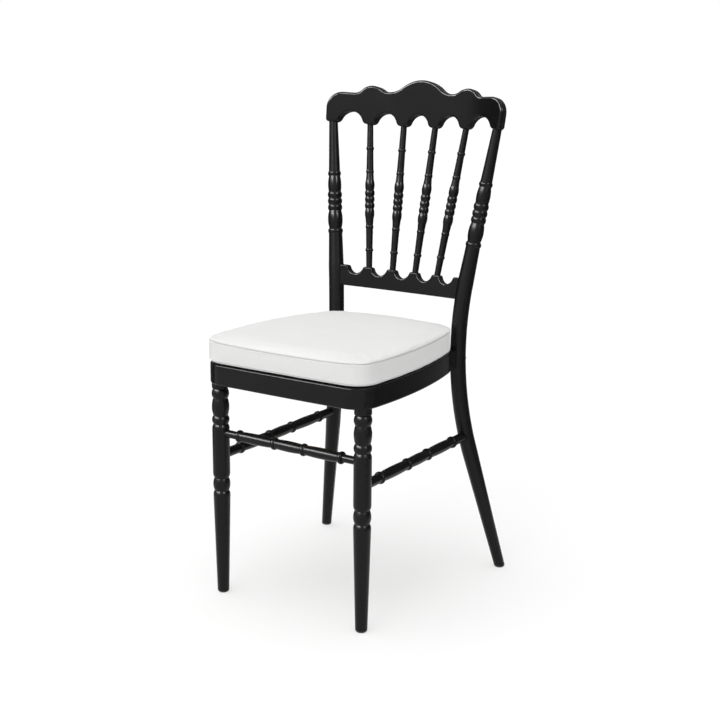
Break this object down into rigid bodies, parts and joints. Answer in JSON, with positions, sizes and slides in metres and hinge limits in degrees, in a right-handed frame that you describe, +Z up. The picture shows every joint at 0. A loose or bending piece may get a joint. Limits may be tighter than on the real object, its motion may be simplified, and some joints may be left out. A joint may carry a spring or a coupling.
{
  "type": "banquet chair",
  "caption": "Turned banquet chair with a humped, scalloped crest, bent rear posts, slim spindles, ringed stretchers, a bowed seat rim and a loose seat pad that lifts off.",
  "frame": {"origin": "on the floor, under the middle of the chair's outer box", "axes": "+Z up, -Y towards the front of the seat, +X to the chair's right as seen from the front"},
  "size_m": [0.432, 0.4693, 0.9207],
  "materials": {
    "black_lacquer": "satin black lacquer",
    "glide_plastic": "matte",
    "bare_beech": "bare",
    "plywood": "sanded",
    "zinc_steel": "zinc plated",
    "black_steel": "black oxide",
    "white_cover": "smooth white leatherette",
    "pad_foam": "open-cell foam",
    "hook_tape": "woven tape"
  },
  "bodies": {
    "frame": {"front_leg_left": "black_lacquer", "front_leg_right": "black_lacquer", "rear_post_left": "black_lacquer", "rear_post_right": "black_lacquer", "crest_rail": "black_lacquer", "lower_back_rail": "black_lacquer", "spindle_outer_left": "black_lacquer", "spindle_inner_left": "black_lacquer", "spindle_inner_right": "black_lacquer", "spindle_outer_right": "black_lacquer", "front_stretcher": "black_lacquer", "side_stretcher_left": "black_lacquer", "side_stretcher_right": "black_lacquer", "seat_rail_front": "black_lacquer", "seat_rail_left": "black_lacquer", "seat_rail_right": "black_lacquer", "seat_rail_rear": "black_lacquer", "post_spacer_left": "black_lacquer", "post_spacer_right": "black_lacquer", "foot_glide_front_left": "glide_plastic", "foot_glide_front_right": "glide_plastic", "foot_glide_rear_left": "glide_plastic", "foot_glide_rear_right": "glide_plastic", "seat_rail_dowels": "bare_beech", "seat_deck": "plywood", "deck_screws": "zinc_steel", "post_bolts": "black_steel", "post_barrel_nuts": "zinc_steel", "glide_nails": "zinc_steel", "pad_hook_strips": "hook_tape"},
    "seat_pad": {"seat_pad_cover": "white_cover", "seat_pad_foam": "pad_foam", "pad_loop_strips": "hook_tape"}
  },
  "joints": [
    {"name": "pad_lift", "type": "slide", "parent": "frame", "child": "seat_pad", "axis": [0, 0, 1], "range_m": [0, 0.2]}
  ]
}
